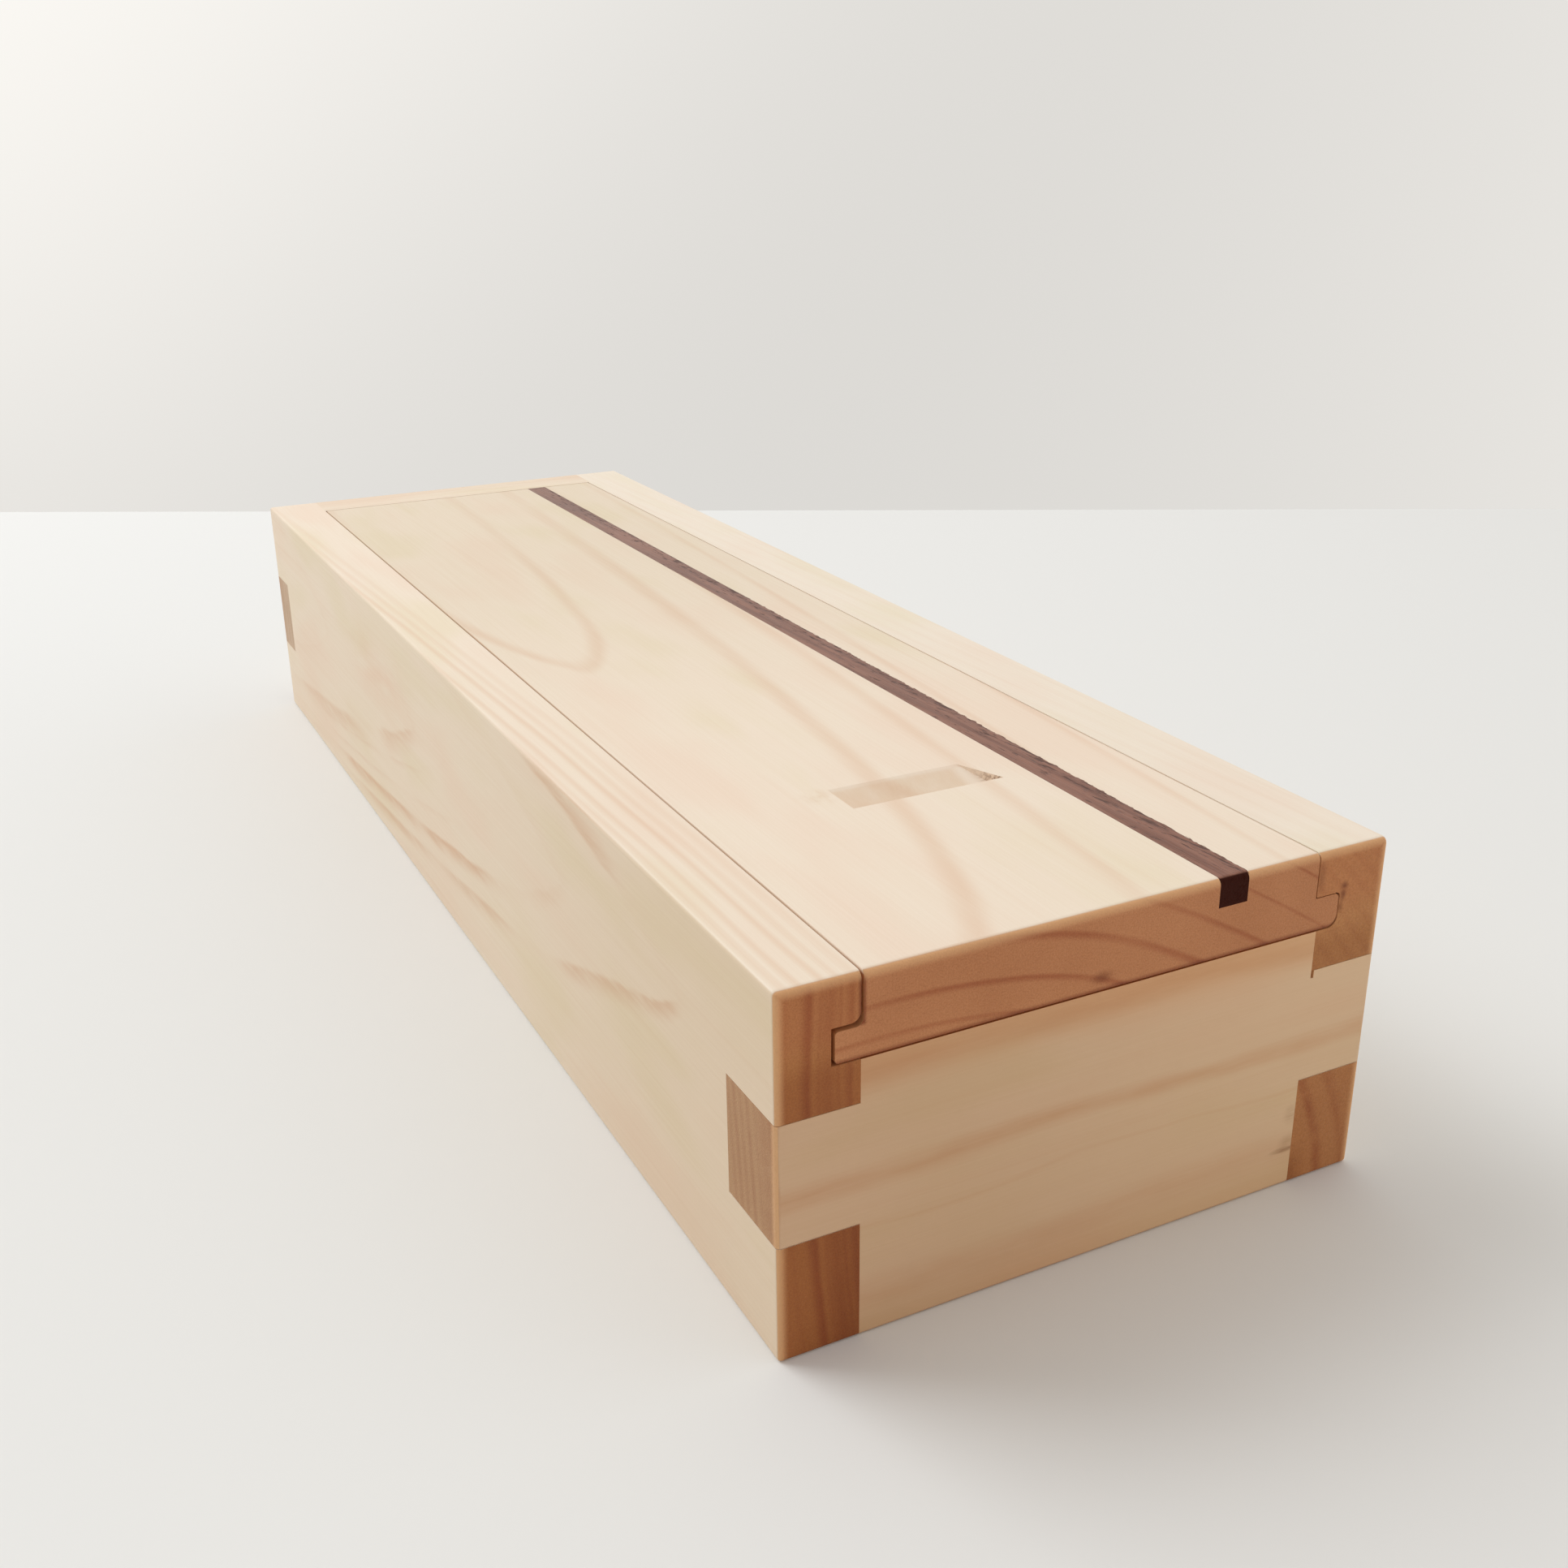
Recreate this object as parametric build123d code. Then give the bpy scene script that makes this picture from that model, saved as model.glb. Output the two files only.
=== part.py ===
from build123d import *
from dataclasses import dataclass
import os

# A pen box: four boards, finger-jointed and glued round a bottom panel, and a lid that slides in
# side grooves and draws right out over the low front board. A dark strip is inlaid along the lid.
# Millimetres. +X is the right side seen from the opening end, +Y runs from the opening end to the
# back, and +Z is up. The origin is the centre of the underside.

# Overall size
WIDTH = 65.4
LENGTH = 200.0
HEIGHT = 36.5

# Boards
BOARD = 8.0  # thickness of the sides, the back and the lid
FRONT_BOARD = 9.5
ARRIS = 0.45  # radius of the sanded outer edges
FRONT_ROUND = 0.7  # radius of the top edge at the opening end, which is sanded rounder
EASE = 0.15  # radius of the lid's own long top edges

# Three-finger corner joints: the end boards' middle finger passes through the sides
FINGER_LOW = 12.0
FINGER_HIGH = 24.1
CHEEK_GAP = 0.06  # glue line above and below each through finger
KERF = 0.35  # width of the saw cut that ran past the upper right front socket
OVERCUT = 0.8
SAW_DEPTH = 0.45  # how far the cut goes in from the front face

# Heights of the grooves that the lid runs in, and of the underside of the lid
GROOVE_LOW = 28.35  # also the top of the front board
GROOVE_HIGH = 31.95
LID_UNDERSIDE = 28.52
END_GAP = 0.2  # between the lid and the back


@dataclass
class Slide:
    """One side's groove and the tongue of the lid that runs in it. They were cut by hand, so the two
    sides differ. Each pair of roundings is (low edge, high edge)."""

    hand: int  # -1 for the left and 1 for the right
    lip: float  # how far the wood above the groove reaches in past the wood below it
    lip_round: float  # of the lower edge of that wood
    groove_depth: float
    groove_round: tuple
    seam_gap: float  # between the lid and the wood above the groove
    tip_gap: float  # between the tongue and the floor of the groove
    tongue_top: float
    tip_round: tuple
    cove: float  # radius of the inside corner above the tongue


LEFT = Slide(
    hand=-1,
    lip=0.0,
    lip_round=1.0,
    groove_depth=2.8,
    groove_round=(0.1, 0.1),
    seam_gap=0.28,
    tip_gap=0.35,
    tongue_top=31.5,
    tip_round=(0.35, 0.35),
    cove=0.8,
)
RIGHT = Slide(
    hand=1,
    lip=0.4,
    lip_round=0.15,
    groove_depth=2.5,
    groove_round=(1.1, 0.4),
    seam_gap=0.12,
    tip_gap=0.12,
    tongue_top=31.85,
    tip_round=(1.2, 0.5),
    cove=0.2,
)

# Inlaid strip, let into the top of the lid
STRIP_WIDTH = 3.3
STRIP_DEPTH = 2.9
STRIP_FROM_CENTRE = 14.05

# Finger notch: a ramp that falls towards the opening end and stops at an upright wall
NOTCH_WALL = 30.15  # from the opening end to the wall
NOTCH_RUN = 5.55
NOTCH_DEPTH = 1.4
NOTCH_LEFT = -8.7
NOTCH_RIGHT = 9.1
NOTCH_SKEW = 2.3  # how much shorter the ramp's far edge is, all at its right end

# Bottom panel, held in a groove round the inside of the four boards
PANEL = 3.0
PANEL_LIFT = 2.5
PANEL_TONGUE = 3.0
PANEL_EDGE_GAP = 0.15
PANEL_FACE_GAP = 0.05

# Places that follow from the sizes above
HALF_WIDTH = WIDTH / 2
INNER_X = HALF_WIDTH - BOARD
FRONT_Y = -LENGTH / 2
BACK_Y = LENGTH / 2
INNER_FRONT_Y = FRONT_Y + FRONT_BOARD
INNER_BACK_Y = BACK_Y - BOARD


def block(x, y, z):
    """A rectangular solid from three (low, high) pairs, which may be given in either order."""
    spans = [sorted(pair) for pair in (x, y, z)]
    size = [high - low for low, high in spans]
    corner = [low for low, high in spans]
    return Pos(*corner) * Box(*size, align=(Align.MIN, Align.MIN, Align.MIN))


def soft_envelope():
    """The outside of the closed box, with every outer edge rounded."""
    box = Box(WIDTH, LENGTH, HEIGHT, align=(Align.CENTER, Align.CENTER, Align.MIN))
    top_front = box.edges().sort_by_distance((0, FRONT_Y, HEIGHT))[0]
    box = fillet(top_front, FRONT_ROUND)
    tangent = (FRONT_Y + FRONT_ROUND, HEIGHT - FRONT_ROUND)
    sharp = [edge for edge in box.edges() if not runs_along(edge, *tangent)]
    return fillet(sharp, ARRIS)


def runs_along(edge, y, z):
    """Whether an edge parallel to X lies where the rounded top edge meets a flat face."""
    middle = edge.center()
    on_top = abs(middle.Y - y) < 0.01 and abs(middle.Z - HEIGHT) < 0.01
    on_front = abs(middle.Y - FRONT_Y) < 0.01 and abs(middle.Z - z) < 0.01
    return abs(middle.X) < 0.01 and (on_top or on_front)


def round_long_edge(solid, x, z, radius):
    """Rounds the edge parallel to Y that lies nearest to (x, z)."""
    middle = (x, 0, z)
    edge = solid.edges().filter_by(Axis.Y).sort_by_distance(middle)[0]
    return fillet(edge, radius)


def panel_groove():
    """The space cut from the four boards for the edge of the bottom panel."""
    reach = INNER_X + PANEL_TONGUE
    low = PANEL_LIFT - PANEL_FACE_GAP
    high = PANEL_LIFT + PANEL + PANEL_FACE_GAP
    return block(
        (-reach, reach),
        (INNER_FRONT_Y - PANEL_TONGUE, INNER_BACK_Y + PANEL_TONGUE),
        (low, high),
    )


def groove_space(slide):
    inner = slide.hand * (INNER_X - slide.lip)
    floor = slide.hand * (INNER_X + slide.groove_depth)
    space = block((inner, floor), (FRONT_Y, INNER_BACK_Y), (GROOVE_LOW, GROOVE_HIGH))
    for z, radius in zip((GROOVE_LOW, GROOVE_HIGH), slide.groove_round):
        space = round_long_edge(space, floor, z, radius)
    return space


def side_board(slide):
    outer = slide.hand * HALF_WIDTH
    inner = slide.hand * INNER_X
    lip = slide.hand * (INNER_X - slide.lip)
    socket = (FINGER_LOW - CHEEK_GAP, FINGER_HIGH + CHEEK_GAP)
    board = block((outer, inner), (FRONT_Y, BACK_Y), (0, HEIGHT))
    board += block((outer, lip), (FRONT_Y, INNER_BACK_Y), (GROOVE_HIGH, HEIGHT))
    board -= block((outer, inner), (FRONT_Y, INNER_FRONT_Y), socket)
    board -= block((outer, inner), (INNER_BACK_Y, BACK_Y), socket)
    board -= groove_space(slide)
    board = round_long_edge(board, lip, GROOVE_HIGH, slide.lip_round)
    return board - panel_groove()


def end_board(outer_y, inner_y, top):
    """The front or the back, with a through finger at each end."""
    board = block((-INNER_X, INNER_X), (outer_y, inner_y), (0, top))
    fingers = block((-HALF_WIDTH, HALF_WIDTH), (outer_y, inner_y), (FINGER_LOW, FINGER_HIGH))
    return board + fingers - panel_groove()


def front_board():
    """The low front, with the saw cut that ran past the socket on the right."""
    board = end_board(FRONT_Y, INNER_FRONT_Y, GROOVE_LOW)
    saw_cut = block(
        (INNER_X, INNER_X + KERF),
        (FRONT_Y, FRONT_Y + SAW_DEPTH),
        (FINGER_HIGH - OVERCUT, FINGER_HIGH),
    )
    return board - saw_cut


def bottom_panel():
    reach = INNER_X + PANEL_TONGUE - PANEL_EDGE_GAP
    front = INNER_FRONT_Y - PANEL_TONGUE + PANEL_EDGE_GAP
    back = INNER_BACK_Y + PANEL_TONGUE - PANEL_EDGE_GAP
    return block((-reach, reach), (front, back), (PANEL_LIFT, PANEL_LIFT + PANEL))


def strip_space():
    """The inlaid strip, and the channel that it fills."""
    left = STRIP_FROM_CENTRE - STRIP_WIDTH / 2
    right = STRIP_FROM_CENTRE + STRIP_WIDTH / 2
    return block((left, right), (FRONT_Y, INNER_BACK_Y - END_GAP), (HEIGHT - STRIP_DEPTH, HEIGHT))


def finger_notch():
    """The wedge cut from the top of the lid, carried on upwards past the surface."""
    wall = FRONT_Y + NOTCH_WALL
    clear = 1.0
    run_on = NOTCH_RUN * clear / NOTCH_DEPTH
    slope = Plane.YZ * make_face(
        Polyline(
            (wall, HEIGHT - NOTCH_DEPTH),
            (wall, HEIGHT + clear),
            (wall + NOTCH_RUN + run_on, HEIGHT + clear),
            close=True,
        )
    )
    wedge = Pos(NOTCH_LEFT, 0, 0) * extrude(slope, amount=NOTCH_RIGHT - NOTCH_LEFT)
    far = wall + NOTCH_RUN
    outline = make_face(
        Polyline(
            (NOTCH_LEFT, wall),
            (NOTCH_RIGHT, wall),
            (NOTCH_RIGHT - NOTCH_SKEW, far),
            (NOTCH_LEFT, far),
            close=True,
        )
    )
    return wedge & extrude(outline, amount=HEIGHT + clear)


def lid_half(slide):
    """The lid on one side of the box's centre line, with its tongue."""
    side = slide.hand * (INNER_X - slide.lip - slide.seam_gap)
    tip = slide.hand * (INNER_X + slide.groove_depth - slide.tip_gap)
    length = (FRONT_Y, INNER_BACK_Y - END_GAP)
    half = block((0, side), length, (LID_UNDERSIDE, HEIGHT))
    half += block((0, tip), length, (LID_UNDERSIDE, slide.tongue_top))
    half = round_long_edge(half, side, HEIGHT, EASE)
    half = round_long_edge(half, side, slide.tongue_top, slide.cove)
    for z, radius in zip((LID_UNDERSIDE, slide.tongue_top), slide.tip_round):
        half = round_long_edge(half, tip, z, radius)
    return half


def lid_board():
    return lid_half(LEFT) + lid_half(RIGHT) - strip_space() - finger_notch()


ENVELOPE = soft_envelope()

NODES = {
    "left_side": side_board(LEFT) & ENVELOPE,
    "right_side": side_board(RIGHT) & ENVELOPE,
    "front_end": front_board() & ENVELOPE,
    "back_end": end_board(BACK_Y, INNER_BACK_Y, HEIGHT) & ENVELOPE,
    "bottom_panel": bottom_panel(),
    "lid_panel": lid_board() & ENVELOPE,
    "lid_inlay": strip_space() & ENVELOPE,
}

os.makedirs("parts", exist_ok=True)
for name, solid in NODES.items():
    export_step(solid, f"parts/{name}.step")
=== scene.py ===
import math

import bpy
from mathutils import Matrix, Vector


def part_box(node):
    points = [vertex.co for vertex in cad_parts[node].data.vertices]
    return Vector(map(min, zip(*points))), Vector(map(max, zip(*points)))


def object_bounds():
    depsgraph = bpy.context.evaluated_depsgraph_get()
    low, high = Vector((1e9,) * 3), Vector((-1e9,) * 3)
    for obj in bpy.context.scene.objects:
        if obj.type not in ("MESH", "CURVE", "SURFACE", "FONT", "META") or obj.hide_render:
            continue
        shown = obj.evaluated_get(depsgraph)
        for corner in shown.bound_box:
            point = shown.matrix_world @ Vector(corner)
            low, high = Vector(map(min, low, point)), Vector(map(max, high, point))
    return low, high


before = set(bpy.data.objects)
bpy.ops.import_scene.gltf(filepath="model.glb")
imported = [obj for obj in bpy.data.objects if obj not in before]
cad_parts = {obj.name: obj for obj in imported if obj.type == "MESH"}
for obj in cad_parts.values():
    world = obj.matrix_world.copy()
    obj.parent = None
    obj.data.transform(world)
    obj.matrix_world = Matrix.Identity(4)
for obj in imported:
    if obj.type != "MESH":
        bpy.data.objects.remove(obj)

# A pale softwood pencil box with a dark inlaid strip, on a white table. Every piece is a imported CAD
# node, which already has the true shape; this script gives each its wood, and adds light and camera.
# Lengths inside the materials are millimetres from the box's left face, opening end and underside.

CAD_LOW, CAD_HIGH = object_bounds()
MM = 0.001
SIZE = (CAD_HIGH - CAD_LOW) / MM
STRIP_RIGHT = ((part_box("lid_inlay")[1] - CAD_LOW) / MM).x


# ---------------------------------------------------------------- node arithmetic


class Field:
    """A number that varies over a surface: a socket in a material's node tree, with arithmetic."""

    def __init__(self, tree, socket):
        self.tree = tree
        self.socket = socket

    def feed(self, node, index, value):
        if isinstance(value, Field):
            self.tree.links.new(value.socket, node.inputs[index])
        else:
            node.inputs[index].default_value = value

    def math(self, operation, *others):
        node = self.tree.nodes.new("ShaderNodeMath")
        node.operation = operation
        for index, value in enumerate((self, *others)):
            self.feed(node, index, value)
        return Field(self.tree, node.outputs[0])

    def __add__(self, other):
        return self.math("ADD", other)

    def __sub__(self, other):
        return self.math("SUBTRACT", other)

    def __mul__(self, other):
        return self.math("MULTIPLY", other)

    def __truediv__(self, other):
        return self.math("DIVIDE", other)

    __radd__ = __add__
    __rmul__ = __mul__

    def __rsub__(self, other):
        return (self * -1.0).math("ADD", other)

    def squared(self):
        return self * self

    def root(self):
        return self.math("SQRT")

    def size(self):
        return self.math("ABSOLUTE")

    def larger(self, other):
        return self.math("MAXIMUM", other)

    def smaller(self, other):
        return self.math("MINIMUM", other)

    def ramp(self, start, end, low=0.0, high=1.0):
        """Goes smoothly from low at start to high at end, and stays level outside them."""
        node = self.tree.nodes.new("ShaderNodeMapRange")
        node.interpolation_type = "SMOOTHSTEP"
        self.feed(node, "Value", self)
        for name, value in (("From Min", start), ("From Max", end), ("To Min", low), ("To Max", high)):
            self.feed(node, name, value)
        return Field(self.tree, node.outputs["Result"])

    def between(self, start, end, soft):
        """One from start to end, and nothing further than soft outside them."""
        return self.ramp(start - soft, start) * self.ramp(end + soft, end)


def split(tree, socket):
    node = tree.nodes.new("ShaderNodeSeparateXYZ")
    tree.links.new(socket, node.inputs[0])
    return [Field(tree, out) for out in node.outputs]


class Wood:
    """One material under construction: where a point is, which way it faces, and its colour so far."""

    def __init__(self, name, seed):
        self.material = bpy.data.materials.new(name)
        self.material.use_nodes = True
        self.tree = self.material.node_tree
        self.shader = self.tree.nodes["Principled BSDF"]
        self.seed = seed
        coordinates = self.tree.nodes.new("ShaderNodeTexCoord")
        place = split(self.tree, coordinates.outputs["Object"])
        self.x, self.y, self.z = [(p - CAD_LOW[axis]) / MM for axis, p in enumerate(place)]
        self.facing = [f.size() for f in split(self.tree, coordinates.outputs["Normal"])]
        self.colour = None

    def end_grain(self, along):
        """One where the surface cuts across the fibres, which run along an axis, and nothing beside them."""
        return self.facing[along].ramp(0.3, 0.6)

    def everywhere(self):
        """One all over the box."""
        return self.z.ramp(-5.0, -4.0)

    def outer_face(self):
        """One on the faces that look left or right."""
        return self.facing[0].ramp(0.5, 0.9)

    def noise(self, size, detail=2.0, rough=0.5, shift=0.0, slant=0.0):
        """Smooth noise from -1 to 1 whose blotches are about size = (x, y, z) millimetres. slant is how
        far they drift to the left for each millimetre towards the back."""
        join = self.tree.nodes.new("ShaderNodeCombineXYZ")
        x = self.x + self.y * slant if slant else self.x
        for index, (place, length) in enumerate(zip((x, self.y, self.z), size)):
            place.feed(join, index, place / length + (self.seed * 7.31 + shift * 3.17 + index * 1.7))
        node = self.tree.nodes.new("ShaderNodeTexNoise")
        self.tree.links.new(join.outputs[0], node.inputs["Vector"])
        node.inputs["Scale"].default_value = 1.0
        node.inputs["Detail"].default_value = detail
        node.inputs["Roughness"].default_value = rough
        return Field(self.tree, node.outputs[0]) * 4.0 - 2.0

    def spot(self, middle, reach):
        """One at a point, falling to nothing on an ellipsoid of half-axes reach around it."""
        total = None
        for place, centre, length in zip((self.x, self.y, self.z), middle, reach):
            part = ((place - centre) / length).squared()
            total = part if total is None else total + part
        return total.root().ramp(1.0, 0.0)

    def steepness(self, depth_at):
        """How fast a ring field changes along the surface, per millimetre."""
        step = 0.5
        here = depth_at(self.x, self.y, self.z)
        moved = (
            depth_at(self.x + step, self.y, self.z),
            depth_at(self.x, self.y + step, self.z),
            depth_at(self.x, self.y, self.z + step),
        )
        total = None
        for there, facing in zip(moved, self.facing):
            part = ((there - here) / step).squared() * (1.0 - facing.squared())
            total = part if total is None else total + part
        return total.root().larger(0.06)

    def paint(self, amount, colour):
        """Covers the colour so far with another one, by an amount from 0 to 1."""
        self.mix(amount, colour, "MIX")

    def shade(self, amount, tint):
        """Multiplies the colour so far by a tint, by an amount from 0 to 1."""
        self.mix(amount, tint, "MULTIPLY")

    def mix(self, amount, colour, blend):
        node = self.tree.nodes.new("ShaderNodeMix")
        node.data_type = "RGBA"
        node.blend_type = blend
        node.clamp_factor = True
        amount.feed(node, "Factor", amount)
        for index, value in ((6, self.colour), (7, colour)):
            if isinstance(value, bpy.types.NodeSocket):
                self.tree.links.new(value, node.inputs[index])
            else:
                node.inputs[index].default_value = (*value, 1.0)
        self.colour = node.outputs[2]

    def finish(self, roughness, height, height_mm, specular):
        """Joins colour, roughness and relief to the shader."""
        self.tree.links.new(self.colour, self.shader.inputs["Base Color"])
        roughness.feed(self.shader, "Roughness", roughness)
        roughness.feed(self.shader, "Specular IOR Level", specular)
        bump = self.tree.nodes.new("ShaderNodeBump")
        bump.inputs["Distance"].default_value = height_mm * MM
        self.tree.links.new(height.socket, bump.inputs["Height"])
        self.tree.links.new(bump.outputs[0], self.shader.inputs["Normal"])
        return self.material


# ---------------------------------------------------------------- wood

# Colours, in linear RGB.
PALE = (0.895, 0.765, 0.625)
ROSE = (0.89, 0.72, 0.58)
STRAW = (0.85, 0.73, 0.54)
LINE = (0.72, 0.43, 0.25)
END = (0.52, 0.29, 0.16)
FRONT_END = (0.55, 0.33, 0.175)
BACK_END = (0.66, 0.49, 0.34)
# At the opening end the lid's and side boards' end grain is darker and more orange than the wood's own end
# grain: partly its own colour, partly painted shade.
LID_END = (0.60, 0.26, 0.112)
LEFT_END = (0.57, 0.25, 0.086)
RIGHT_END = (0.60, 0.275, 0.100)
# Painted light: an orange glow painted on the end grain along its outer edges.
RIM_LIGHT = (0.95, 0.56, 0.28)
TORN = (0.16, 0.06, 0.035)
NOTCH_WALL = (0.78, 0.58, 0.41)
# Painted light for the notch's right end, paler than the wood.
NOTCH_END = (0.93, 0.79, 0.65)
# Painted shade for the notch's deep right corner.
NOTCH_TIP = (0.40, 0.27, 0.19)
SLIVER = (0.30, 0.13, 0.05)
SPLINTER = (0.45, 0.25, 0.12)
INLAY = (0.27, 0.112, 0.070)
INLAY_STREAK = (0.175, 0.064, 0.038)
INLAY_FIBRE = (0.38, 0.19, 0.13)
INLAY_TORN = (0.055, 0.020, 0.014)
INLAY_PORE = (0.03, 0.012, 0.010)
INLAY_END = (0.042, 0.0085, 0.0045)

# Tints, which multiply a colour.
END_LINE = (0.70, 0.47, 0.37)
# Lifts the painted shade off that end grain away from the opening end.
FAR_END = (1.0, 1.38, 2.0)
# Painted shade: darker wood on the faces inside the gaps round the lid, where shade falls.
GAP_SHADE = (0.93, 0.80, 0.68)
# Painted shade: a warmer, darker tint on those faces near the opening end.
MOUTH_SHADE = (0.72, 0.45, 0.29)

# Where things are on the box, and how wide, in millimetres.
TOP = 36.5
LID_LEFT = 8.1
NOTCH_LEFT, NOTCH_RIGHT = 23.9, 41.9
NOTCH_FRONT, NOTCH_BACK = 30.0, 35.6
GROOVE_FLOOR = 28.3
LIP_EDGE = 5.0  # from a side board's outer face: past it, its surface is in the groove or on the lip
# The darkening of the sliding faces over this reach is painted shade.
MOUTH_REACH = (7.0, 2.0)  # from the opening end, over which the sliding faces darken
FAR = (60.0, 140.0)  # from the opening end, over which the end grain turns paler
RIM_WIDTH = 1.1


def latewood(wood, depth_at, wander, rings, soft=0.25, end_scale=1.0, along=1):
    """Darkness, 0 to 1, of the growth rings. depth_at gives millimetres along the tree's radius, and
    each ring is (depth of its dark edge, how dark, how many millimetres its darkening fades over).
    soft is the blur of the dark edge, and end_scale narrows the lines on the end grain."""
    scale = wood.steepness(depth_at) * (1.0 - wood.end_grain(along) * (1.0 - end_scale))
    depth = depth_at(wood.x, wood.y, wood.z) + wander
    total = None
    for edge, strength, width in rings:
        inside = (edge - depth) / scale
        part = inside.ramp(width, 0.0) * inside.ramp(-soft * width, 0.05 * width) * strength
        total = part if total is None else total.larger(part)
    return total


def drawn_out(thick, long, along):
    """The size of a fibre, streak or cloud that is long in one direction and equally thick in the others."""
    size = [thick, thick, thick]
    size[along] = long
    return size


def softwood(wood, along, dark, figure=0.45, end=END, tints=(), end_tints=(), marks=()):
    """Colours and finishes a board. along is the axis of its fibres and dark its growth rings. Each
    tint is (amount, colour) multiplied in at the end, on the long grain or on the end grain, and each
    mark is (amount, colour) painted over everything."""
    fibres = wood.noise(drawn_out(0.22, 26.0, along), 3.0, 0.6, 1)
    streaks = wood.noise(drawn_out(1.6, 70.0, along), 3.0, 0.55, 2)
    clouds = wood.noise(drawn_out(11.0, 38.0, along), 2.0, 0.5, 3)
    pores = wood.noise(drawn_out(0.16, 0.16, along), 2.0, 0.6, 5)
    end_grain = wood.end_grain(along)
    across = wood.y if along == 0 else wood.x
    width = SIZE.y if along == 0 else SIZE.x
    # A band along the outer edges, where the end grain gets a painted glow.
    lit_rim = across.smaller(width - across).smaller(SIZE.z - wood.z).ramp(RIM_WIDTH, -0.1)

    wood.colour = PALE
    wood.paint(clouds.ramp(-0.1, 0.8, 0.0, 0.85), ROSE)
    wood.paint(clouds.ramp(0.0, -0.8, 0.0, 0.75), STRAW)
    wood.paint(streaks.ramp(0.2, 1.3, 0.0, 0.10), LINE)
    wood.paint(dark * figure, LINE)
    wood.shade(fibres.ramp(-1.2, 1.2, 0.0, 0.4), (0.94, 0.91, 0.87))
    for amount, tint in tints:
        wood.shade(amount, tint)
    long_colour = wood.colour

    wood.colour = end
    wood.shade(dark, END_LINE)
    wood.shade(pores.ramp(-1.0, 1.4), (0.80, 0.72, 0.66))
    wood.shade(clouds.ramp(-1.0, 1.0), (0.90, 0.86, 0.82))
    for amount, tint in end_tints:
        wood.shade(amount, tint)
    end_colour = wood.colour

    wood.colour = long_colour
    wood.paint(end_grain, end_colour)
    # Painted light: an orange glow on the end grain along its outer edges, fading towards the back.
    wood.paint(lit_rim * end_grain * wood.y.ramp(150.0, 50.0, 0.2, 0.75), RIM_LIGHT)
    for amount, colour in marks:
        wood.paint(amount, colour)
    roughness = fibres.ramp(-1.5, 1.5, 0.42, 0.56) + end_grain * 0.12
    height = fibres * 0.25 + streaks * 0.2 + dark * 0.4 + pores * end_grain * 0.7
    return wood.finish(roughness, height, 0.02, 0.35)


def lid_depth(x, y, z):
    """The pith lies below the left of the lid, so the rings are level there and fall to the right.
    The tree tapers towards the back, which opens the ring under the lid into an arch on top. point
    sharpens the tip of the arch."""
    knee = 29.6 - y * 0.042 + y.squared() * 0.00007 + (z - 32.0) * 0.41
    past = x - knee
    fall = ((past.squared() + 14.4**2).root() + past) * 0.266
    short = (y * 0.136 + 18.6 - x).larger(0.0)
    point = y.ramp(40.0, 75.0) / ((x - 16.0).squared() * 0.2 + 1.0)
    return z + fall + short.squared() * 0.0034 - point * 0.095 - (y * 0.0585 - y.squared() * 0.000095)


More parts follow.
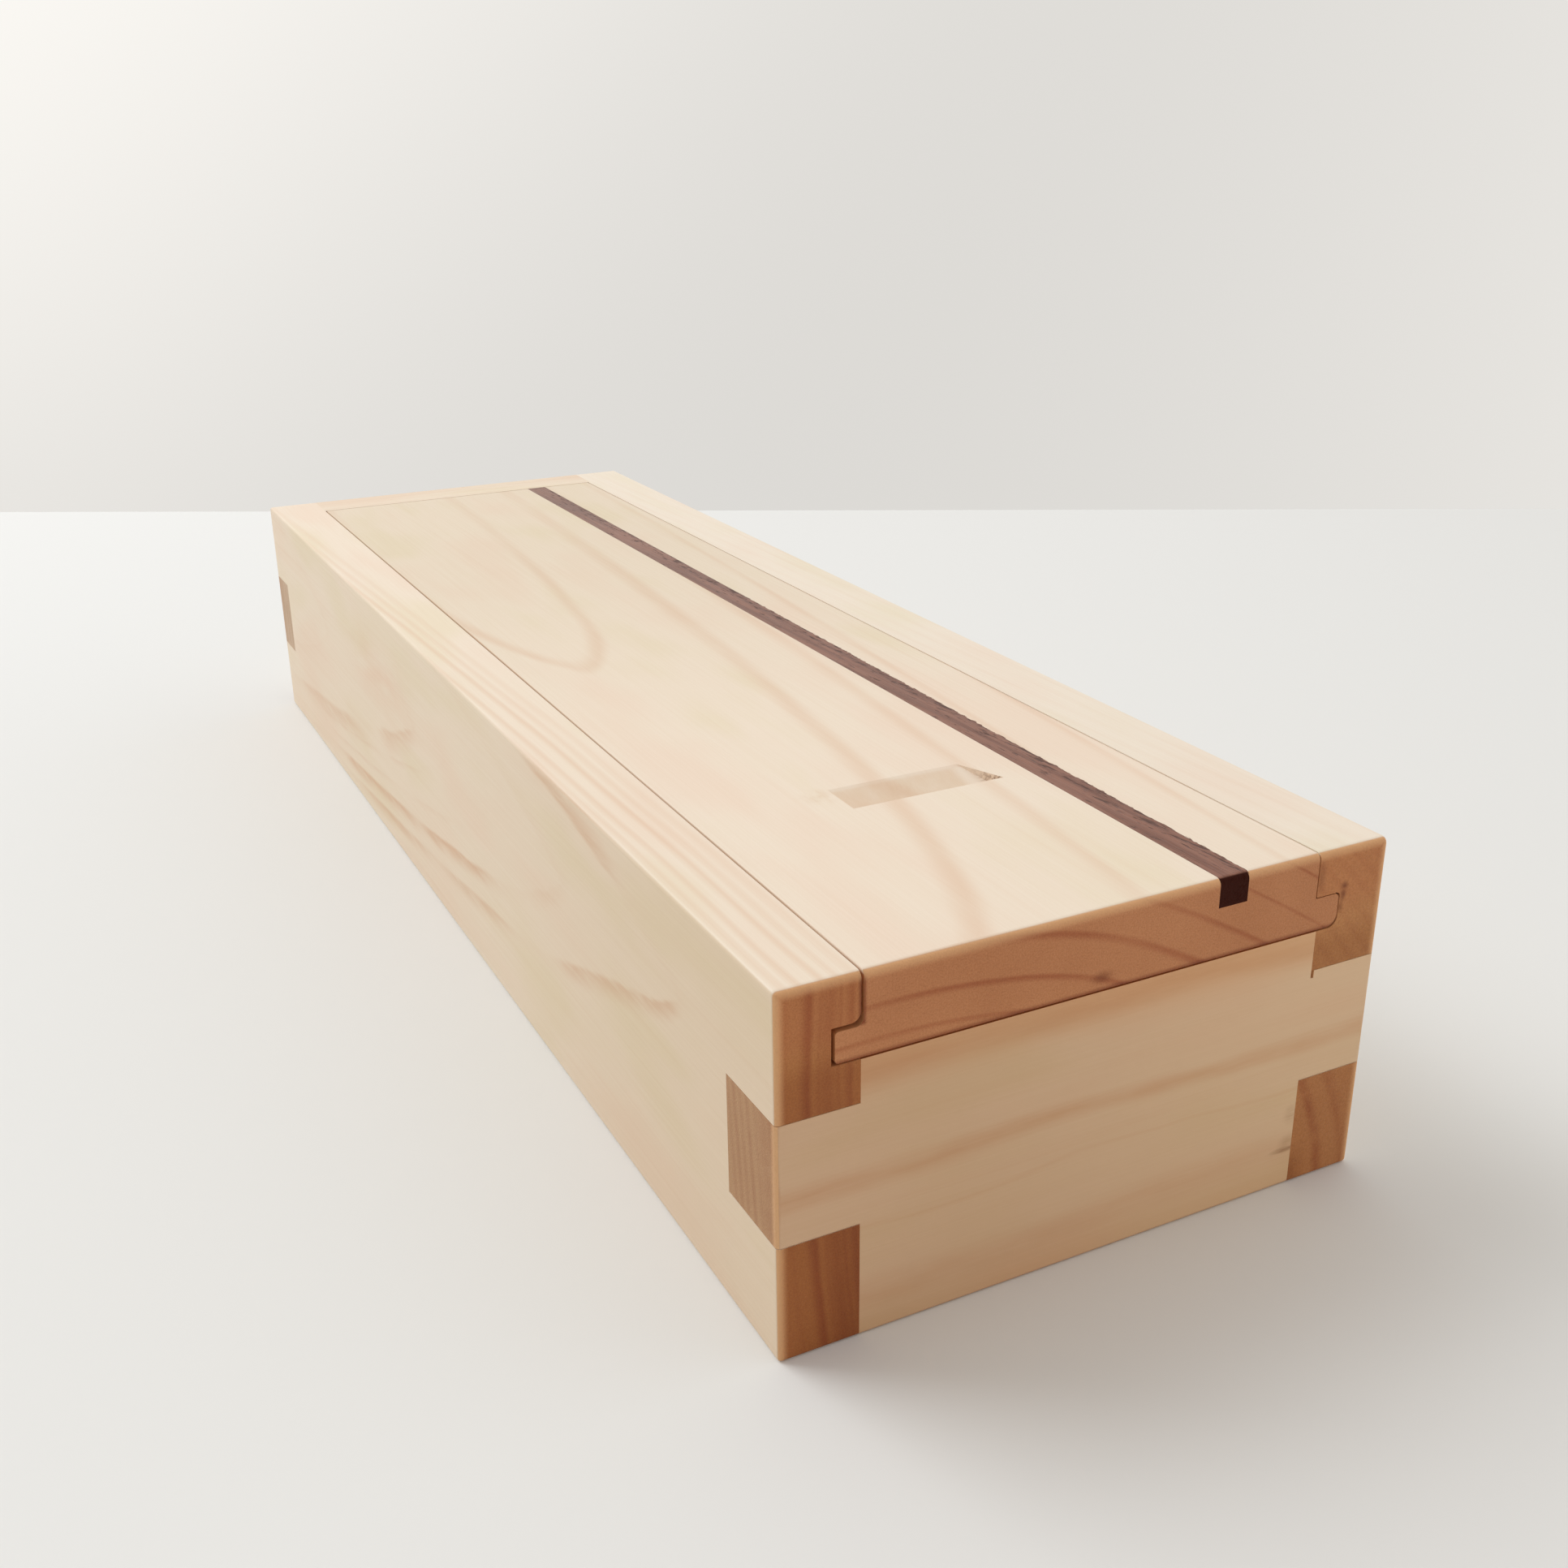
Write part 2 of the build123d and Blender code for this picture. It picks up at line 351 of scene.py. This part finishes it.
def lid_wood():
    """Flat-sawn, with an arch on top. It has a smudge left of the notch and torn fibres by the strip."""
    wood = Wood("lid_wood", 1)
    x, y, z = wood.x, wood.y, wood.z
    wander = wood.noise([14.0, 60.0, 9.0], 2.0, 0.5, 11) * 0.10
    rings = [
        (31.5, 0.6, 1.8),
        (34.6, 0.8, 2.2),
        (38.3, 0.8, 2.8),
        (41.9, 0.7, 2.0),
        (45.6, 0.55, 1.2),
        (49.2, 0.7, 1.2),
    ]
    fading = wood.noise([9.0, 30.0, 9.0], 2.0, 0.6, 13).ramp(-0.9, 0.5, 0.5, 1.0)
    dark = latewood(wood, lid_depth, wander, rings, 0.6, 0.3) * fading * y.ramp(110.0, 180.0, 1.0, 0.6)
    knot = wood.spot((32.4, 0.0, 29.8), (1.7, 5.0, 0.9))
    inside = wood.facing[1].ramp(0.9, 0.5)
    edge = (x - 32.6).size().ramp(23.7, 24.0) * inside * z.ramp(36.4, 36.0)
    mottle = wood.noise([1.5, 3.0, 9.0], 2.0, 0.6, 21)
    smudge = wood.spot((22.3, 34.5, TOP), (2.6, 3.0, 1.0)) * mottle.ramp(-0.6, 0.8)
    sunk = z.ramp(TOP - 0.05, TOP - 0.2).larger(wood.facing[2].ramp(0.75, 0.45))
    notch = x.between(NOTCH_LEFT, NOTCH_RIGHT, 0.2) * y.between(NOTCH_FRONT, NOTCH_BACK, 0.3) * sunk
    notch_floor = notch * mottle.ramp(-1.4, 1.0, 0.4, 1.0)
    # Painted light: the notch's right end is painted paler than the wood around it.
    notch_end = notch * x.ramp(NOTCH_RIGHT - 3.9, NOTCH_RIGHT - 2.5) * mottle.ramp(-1.6, 0.8, 0.75, 1.0)
    # Painted shade in the deep right corner of the notch, broken into streaks running across the box.
    tip_streaks = wood.noise([2.2, 0.35, 0.35], 2.0, 0.6, 22).ramp(-0.4, 0.6)
    notch_tip = notch * x.ramp(NOTCH_RIGHT - 1.9, NOTCH_RIGHT - 0.1) * tip_streaks
    tints = [
        # Painted shade on the lid's faces inside the gaps, warmer near the opening end.
        (edge, GAP_SHADE),
        (edge * y.ramp(*MOUTH_REACH), MOUTH_SHADE),
        (smudge, (0.90, 0.82, 0.74)),
        (notch_floor, (0.94, 0.88, 0.81)),
        (y.ramp(30.0, 150.0), (0.90, 0.89, 0.85)),
    ]
    # Painted shade on the end grain beside the seam with the left board and along the gap under the lid.
    seam_shade = (x - LID_LEFT).ramp(0.55, 0.1) * z.ramp(31.4, 31.8) + z.ramp(29.0, 28.5) * 0.8
    end_tints = [
        (knot, (0.62, 0.50, 0.42)),
        (seam_shade, (0.45, 0.24, 0.14)),
        (y.ramp(*FAR), FAR_END),
    ]
    chips = wood.noise([0.5, 1.1, 5.0], 2.0, 0.6, 31)
    beside = x - STRIP_RIGHT
    torn = (beside - chips * 0.2).ramp(0.12, 0.0) * beside.ramp(-0.1, 0.0) * beside.ramp(1.0, 0.5)
    torn = torn * y.ramp(120.0, 95.0) * z.ramp(TOP - 0.3, TOP - 0.1)
    notch_wall = notch * wood.end_grain(1) * 0.85
    marks = [(torn, TORN), (notch_wall, NOTCH_WALL), (notch_end, NOTCH_END), (notch_tip, NOTCH_TIP)]
    return softwood(wood, 1, dark, 0.43, LID_END, tints, end_tints, marks)


def left_depth(inwards, y, z):
    """Flat-sawn: the rings lie nearly along the outer face, and run out of it towards the back."""
    level = z - y.ramp(30.0, 70.0, 26.4, 23.8)
    reach = (level.squared() + 0.7).root()
    curve = reach.squared() * 0.26 + reach * 10.0 / (reach + 2.5)
    return inwards + (y - curve * y.ramp(0.0, 35.0, 0.2, 1.0)) * 0.045


def right_depth(inwards, y, z):
    """The rings cross this board on a slant, and run deeper towards the back."""
    return inwards - z * 0.15 - z.squared() * 0.0125 - y * 0.057


def left_wood():
    """The outer face, the top and the end grain each show their own rings, broken up on the outer face."""
    wood = Wood("left_side_wood", 2)
    wander = wood.noise([5.0, 40.0, 8.0], 3.0, 0.55, 11) * 0.10
    wander = wander + wood.noise([1.2, 16.0, 1.2], 3.0, 0.6, 14) * 0.05
    rings = [
        (-1.9, 0.35, 2.0),
        (0.8, 0.65, 2.4),
        (2.2, 0.9, 2.4),
        (3.2, 0.25, 1.0),
        (4.2, 0.35, 1.0),
        (4.9, 0.55, 3.6),
        (7.1, 0.7, 2.0),
    ]
    top_rings = [
        (0.8, 0.25, 0.9),
        (2.2, 0.35, 0.8),
        (4.2, 0.4, 0.8),
        (5.6, 0.25, 0.9),
        (7.1, 0.2, 1.0),
    ]
    end_rings = [
        (0.9, 0.15, 0.6),
        (3.0, 0.8, 1.1),
        (4.1, 0.3, 0.6),
        (5.0, 0.35, 1.8),
        (5.9, 0.3, 0.5),
        (7.0, 0.5, 0.9),
    ]
    shown = None
    for middle, reach in (
        ((0.0, 40.0, 18.0), (2.0, 26.0, 8.0)),
        ((0.0, 24.0, 23.0), (2.0, 9.0, 5.0)),
        ((0.0, 92.0, 11.0), (2.0, 30.0, 6.5)),
        ((0.0, 135.0, 6.0), (2.0, 40.0, 6.0)),
        ((0.0, 121.0, 20.0), (2.0, 17.0, 9.0)),
        ((0.0, 165.0, 10.0), (2.0, 60.0, 5.0)),
        ((0.0, 48.0, 34.0), (2.0, 22.0, 5.0)),
    ):
        part = wood.spot(middle, reach).ramp(0.0, 0.6, 0.1, 1.0)
        shown = part if shown is None else shown.larger(part)
    broken = wood.noise([1.0, 9.0, 1.0], 3.0, 0.65, 15).ramp(-0.9, 0.5, 0.45, 1.0)
    outer = wood.outer_face()
    end_grain = wood.end_grain(1)
    dark = latewood(wood, left_depth, wander, rings) * shown * broken * outer
    dark = dark + latewood(wood, left_depth, wander, top_rings, 0.7) * (1.0 - outer)
    dark = dark * (1.0 - end_grain)
    dark = dark + latewood(wood, left_depth, wander, end_rings, 0.5) * end_grain
    lip = wood.x.ramp(LIP_EDGE - 0.1, LIP_EDGE + 0.1) * wood.z.between(GROOVE_FLOOR, TOP - 0.3, 0.1)
    blush = wood.noise([3.0, 12.0, 3.0], 2.0, 0.5, 21).ramp(-0.9, 0.6)
    blush = wood.spot((0.0, 128.0, 26.0), (3.0, 26.0, 9.0)) * blush
    face = outer * wood.x.ramp(1.0, 0.5)
    tints = [
        # Painted shade: the faces in the groove and on the lip are darker, warmer near the opening end.
        (lip, GAP_SHADE),
        (lip * wood.y.ramp(*MOUTH_REACH), MOUTH_SHADE),
        (blush, (0.97, 0.90, 0.86)),
        # Painted shade: the outer face is darker than the board's top, and darker still towards the front.
        (face * wood.y.ramp(90.0, 0.0), (0.92, 0.88, 0.83)),
        (face, (0.945, 0.92, 0.87)),
    ]
    end_tints = [
        (wood.z.ramp(31.0, 27.0), (0.80, 0.69, 0.61)),
        (wood.z.ramp(29.0, 32.0), (0.93, 0.83, 0.85)),
        (wood.y.ramp(*FAR), FAR_END),
        (wood.z.ramp(13.0, 12.0), (0.95, 0.92, 0.86)),
        (wood.x.ramp(4.0, 7.0) * wood.z.ramp(13.0, 12.0), (0.85, 0.76, 0.70)),
        (wood.z.ramp(33.0, 27.0), (0.93, 0.88, 0.77)),
        # Painted shade on the end grain beside the seam with the lid.
        (wood.x.ramp(7.6, 8.0) * wood.z.ramp(31.5, 32.2), (0.50, 0.34, 0.26)),
    ]
    return softwood(wood, 1, dark, 0.8, LEFT_END, tints, end_tints)


def right_wood():
    """Faint close rings, two dark ones on the end grain, and a bruise beside the groove."""
    wood = Wood("right_side_wood", 3)
    wander = wood.noise([7.0, 40.0, 8.0], 3.0, 0.55, 11) * 0.2
    rings = [(3.6 + 2.3 * step, 0.22, 0.9) for step in range(-14, -2)]
    rings += [(0.9, 0.5, 1.4), (4.1, 0.8, 1.3)]

    def depth_at(x, y, z):
        return right_depth(SIZE.x - x, y, z)

    mottle = wood.noise([1.6, 9.0, 1.6], 2.0, 0.6, 12).ramp(-1.2, 0.9, 0.35, 1.0)
    dark = latewood(wood, depth_at, wander, rings, 0.6) * mottle * (wood.outer_face() * 1.8 + 1.0)
    inwards = SIZE.x - wood.x
    lip = inwards.ramp(LIP_EDGE - 0.1, LIP_EDGE + 0.1) * wood.z.between(GROOVE_FLOOR, TOP - 0.3, 0.1)
    bruise = wood.spot((60.4, 0.0, 32.5), (0.7, 4.0, 0.7))
    bruise = bruise.larger(wood.spot((60.3, 0.0, 31.6), (0.6, 4.0, 1.1)))
    bruise = bruise.larger(wood.spot((60.1, 0.0, 30.4), (0.5, 4.0, 1.0)) * 0.7)
    bruise = bruise.larger(wood.spot((57.3, 0.0, 34.0), (0.9, 4.0, 2.6)) * 0.5)
    low = wood.z.ramp(29.5, 26.0)
    corner = wood.x.ramp(60.0, 57.4) * wood.z.ramp(5.0, 1.0)
    end_tints = [
        (bruise, (0.5, 0.38, 0.3)),
        (wood.z.ramp(29.0, 32.0), (0.97, 0.88, 0.88)),
        (wood.y.ramp(*FAR), FAR_END),
        (low, (0.90, 0.84, 0.78)),
        (low * wood.z.ramp(12.0, 12.5), (0.9, 0.88, 0.80)),
        (corner, (0.75, 0.65, 0.55)),
    ]
    # pale is a painted sheen: the top is made paler and cooler. The lip tints below are painted shade on the
    # faces in the groove and on the lip, warmer near the opening end.
    pale = wood.z.ramp(TOP - 0.5, TOP - 0.2)
    tints = [(lip, GAP_SHADE), (lip * wood.y.ramp(*MOUTH_REACH), MOUTH_SHADE), (pale, (1.0, 1.03, 1.06))]
    return softwood(wood, 1, dark, 0.35, RIGHT_END, tints, end_tints)


def upright_rings(wood, outer_y):
    """The growth rings of a front or back board: its fibres run across the box, and its rings stand nearly
    upright."""
    wander = wood.noise([22.0, 9.0, 9.0], 2.0, 0.5, 11) * 0.09

    def depth_at(x, y, z):
        return (y - outer_y) * (1.0 if outer_y == 0.0 else -1.0) - z * 0.12

    rings = [
        (-3.2, 0.5, 2.4),
        (-1.95, 0.6, 1.8),
        (-1.38, 0.2, 0.4),
        (-0.5, 0.4, 3.0),
        (1.1, 0.3, 0.7),
        (2.6, 0.45, 0.7),
        (4.0, 0.3, 0.7),
        (5.3, 0.45, 0.7),
        (6.5, 0.3, 0.7),
    ]
    mottle = wood.noise([9.0, 1.4, 1.4], 2.0, 0.6, 12).ramp(-1.2, 0.8, 0.5, 1.0)
    return latewood(wood, depth_at, wander, rings, 0.9, 1.0, 0) * mottle


def front_wood():
    """Warmer towards the lid, with splinters beside the lower right finger."""
    wood = Wood("front_end_wood", 4)
    x, z = wood.x, wood.z
    dark = upright_rings(wood, 0.0)
    under_lid = wood.facing[2].ramp(0.7, 0.95) * z.between(27.9, 28.5, 0.2)
    tints = [
        # Partly the board's own warmer tone, partly painted shade: the whole board is darker and more orange
        # than the back board, as a face turned from the light.
        (wood.everywhere(), (0.875, 0.72, 0.555)),
        (x.ramp(60.0, 5.0), (0.86, 0.82, 0.82)),
        (z.ramp(23.0, 28.3), (0.96, 0.83, 0.69)),
        (z.ramp(5.0, 0.5), (0.95, 0.90, 0.83)),
        # Painted shade on the board's top under the lid, warmer near the opening end.
        (under_lid, GAP_SHADE),
        (under_lid * wood.y.ramp(4.0, 1.0), MOUTH_SHADE),
    ]
    ragged = wood.noise([2.5, 1.0, 0.35], 2.0, 0.6, 33).ramp(-0.9, 0.6, 0.25, 1.0)
    marks = [
        (wood.spot((56.5, 0.0, 4.25), (2.4, 1.0, 0.45)) * ragged, SLIVER),
        (wood.spot((56.8, 0.0, 4.9), (1.6, 1.0, 1.5)) * ragged * 0.5, SPLINTER),
        (wood.spot((56.9, 0.0, 8.3), (1.3, 1.0, 1.6)) * ragged * 0.4, SPLINTER),
    ]
    return softwood(wood, 0, dark, 0.8, FRONT_END, tints, (), marks)


def back_wood():
    wood = Wood("back_end_wood", 7)
    tints = [(wood.everywhere(), (0.96, 0.955, 0.93))]
    return softwood(wood, 0, upright_rings(wood, SIZE.y), 0.35, BACK_END, tints)


def panel_wood():
    wood = Wood("panel_wood", 5)
    wander = wood.noise([9.0, 60.0, 9.0], 2.0, 0.5, 11) * 0.3

    def depth_at(x, y, z):
        return z + (x - 27.0).squared() * 0.012 + y * 0.012

    rings = [(3.0 + 1.7 * step, 0.5, 1.2) for step in range(9)]
    return softwood(wood, 1, latewood(wood, depth_at, wander, rings))


def strip_wood():
    """Dark, close-grained, with short open pores along it, and rougher along its right edge."""
    wood = Wood("inlay_wood", 6)
    fibres = wood.noise([0.25, 7.0, 0.25], 3.0, 0.6, 1, 0.03)
    streaks = wood.noise([0.9, 26.0, 0.9], 2.0, 0.5, 2, 0.02)
    pores = wood.noise([0.13, 1.6, 0.13], 2.0, 0.5, 3, 0.06)
    gouges = wood.noise([0.45, 3.2, 0.45], 3.0, 0.65, 4, 0.10)
    rough = wood.x.ramp(STRIP_RIGHT - 2.2, STRIP_RIGHT, 0.0, 0.45)
    torn = (gouges + rough).ramp(0.35, 0.85)
    end_grain = wood.end_grain(1)
    wood.colour = INLAY
    wood.paint(streaks.ramp(-0.5, 0.6, 0.0, 0.9), INLAY_STREAK)
    wood.paint(fibres.ramp(0.2, 1.4, 0.0, 0.6), INLAY_FIBRE)
    wood.paint(torn * 0.75, INLAY_TORN)
    wood.paint(pores.ramp(0.6, 1.2, 0.0, 0.9), INLAY_PORE)
    wood.paint(end_grain, INLAY_END)
    roughness = fibres.ramp(-1.5, 1.5, 0.30, 0.45) + end_grain * 0.25 + torn * 0.15
    height = fibres * 0.5 - pores.ramp(0.8, 1.5) - torn
    return wood.finish(roughness, height, 0.04, 0.3 - end_grain * 0.25)


def dress(node, material):
    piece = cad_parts[node]
    piece.data.materials.clear()
    piece.data.materials.append(material)


dress("lid_panel", lid_wood())
dress("lid_inlay", strip_wood())
dress("left_side", left_wood())
dress("right_side", right_wood())
dress("front_end", front_wood())
dress("back_end", back_wood())
dress("bottom_panel", panel_wood())


# ---------------------------------------------------------------- camera

camera_data = bpy.data.cameras.new("camera")
camera = bpy.data.objects.new("camera", camera_data)
bpy.context.scene.collection.objects.link(camera)
bpy.context.scene.camera = camera

EYE = Vector((-84.3, -205.5, 101.6)) * MM
TURN = math.radians(26.58)  # to the right of straight along the box
DOWN = math.radians(21.90)
ROLL = math.radians(-0.68)
camera_data.sensor_width = 36.0
camera_data.lens = 38.77
camera_data.clip_start = 0.01
camera_data.clip_end = 20.0
aim = Matrix.Rotation(-TURN, 4, "Z") @ Matrix.Rotation(math.pi / 2 - DOWN, 4, "X")
camera.matrix_world = Matrix.Translation(EYE) @ aim @ Matrix.Rotation(ROLL, 4, "Z")


# ---------------------------------------------------------------- table and light

WALL = (0.718, 0.70, 0.668)
DIM_TURN = TURN + math.radians(35.0)
GLOW_TOWARDS = Vector((-0.2, 0.8, 0.55)).normalized()
WARM = (1.0, 0.68, 0.46)
WARM_TOWARDS = Vector((0.42, -0.60))


def table():
    """A white table top that ends behind the box, almost square to the camera's heading."""
    reach = 0.451
    wide = 8.0
    turn = TURN + math.radians(2.5)
    heading = Vector((math.sin(TURN), math.cos(TURN), 0.0))
    across = Vector((math.cos(turn), -math.sin(turn), 0.0))
    back = Vector((EYE.x, EYE.y, CAD_LOW.z)) + heading * reach
    front = back - heading * wide * 1.2
    corners = [back - across * wide, back + across * wide, front + across * wide, front - across * wide]
    mesh = bpy.data.meshes.new("table")
    mesh.from_pydata(corners, [], [(3, 2, 1, 0)])
    piece = bpy.data.objects.new("table", mesh)
    bpy.context.scene.collection.objects.link(piece)
    material = bpy.data.materials.new("table")
    material.use_nodes = True
    shader = material.node_tree.nodes["Principled BSDF"]
    shader.inputs["Base Color"].default_value = (0.83, 0.83, 0.82, 1.0)
    shader.inputs["Roughness"].default_value = 0.7
    shader.inputs["Specular IOR Level"].default_value = 0.2
    mesh.materials.append(material)


def sky():
    """A pale room: a white wall behind, a glow towards the window, dimmer behind the camera, and a
    little warm light from low beyond the opening end, whose source isn't seen itself."""
    world = bpy.data.worlds.new("room")
    bpy.context.scene.world = world
    world.use_nodes = True
    tree = world.node_tree
    coordinates = tree.nodes.new("ShaderNodeTexCoord")
    across, away, up = split(tree, coordinates.outputs["Generated"])
    ahead = across * math.sin(DIM_TURN) + away * math.cos(DIM_TURN)
    aside = across * math.cos(TURN) - away * math.sin(TURN)
    glow = across * GLOW_TOWARDS.x + away * GLOW_TOWARDS.y + up * GLOW_TOWARDS.z
    lit = glow.ramp(0.4, 1.0).squared() * 0.5
    dim = ahead.ramp(0.6, -0.5, 1.0, 0.53)
    strength = dim + lit + aside.squared() * 0.25 + aside.larger(0.0).squared() * 0.35
    heading = WARM_TOWARDS.normalized()
    seen = Field(tree, tree.nodes.new("ShaderNodeLightPath").outputs["Is Camera Ray"])
    warm = (across * heading.x + away * heading.y).ramp(0.5, 1.0) * up.ramp(0.40, 0.08) * 0.5
    warm = warm * (1.0 - seen)
    tree.nodes.remove(tree.nodes["Background"])
    both = tree.nodes.new("ShaderNodeAddShader")
    for index, (colour, amount) in enumerate(((WALL, strength), (WARM, warm))):
        background = tree.nodes.new("ShaderNodeBackground")
        background.inputs["Color"].default_value = (*colour, 1.0)
        tree.links.new(amount.socket, background.inputs["Strength"])
        tree.links.new(background.outputs[0], both.inputs[index])
    tree.links.new(both.outputs[0], tree.nodes["World Output"].inputs["Surface"])


def lamp(name, place, size, watts, colour):
    """A square soft light that faces the box and isn't seen itself."""
    data = bpy.data.lights.new(name, "AREA")
    data.shape = "SQUARE"
    data.size = size
    data.energy = watts
    data.color = colour
    light = bpy.data.objects.new(name, data)
    bpy.context.scene.collection.objects.link(light)
    light.location = place
    light.rotation_mode = "QUATERNION"
    light.rotation_quaternion = light.location.to_track_quat("Z", "Y")
    light.visible_camera = False


table()
sky()
lamp("window", (-0.675, 0.825, 1.05), 0.90, 10.8, (0.97, 1.0, 1.03))
bpy.context.scene.view_settings.view_transform = "Standard"
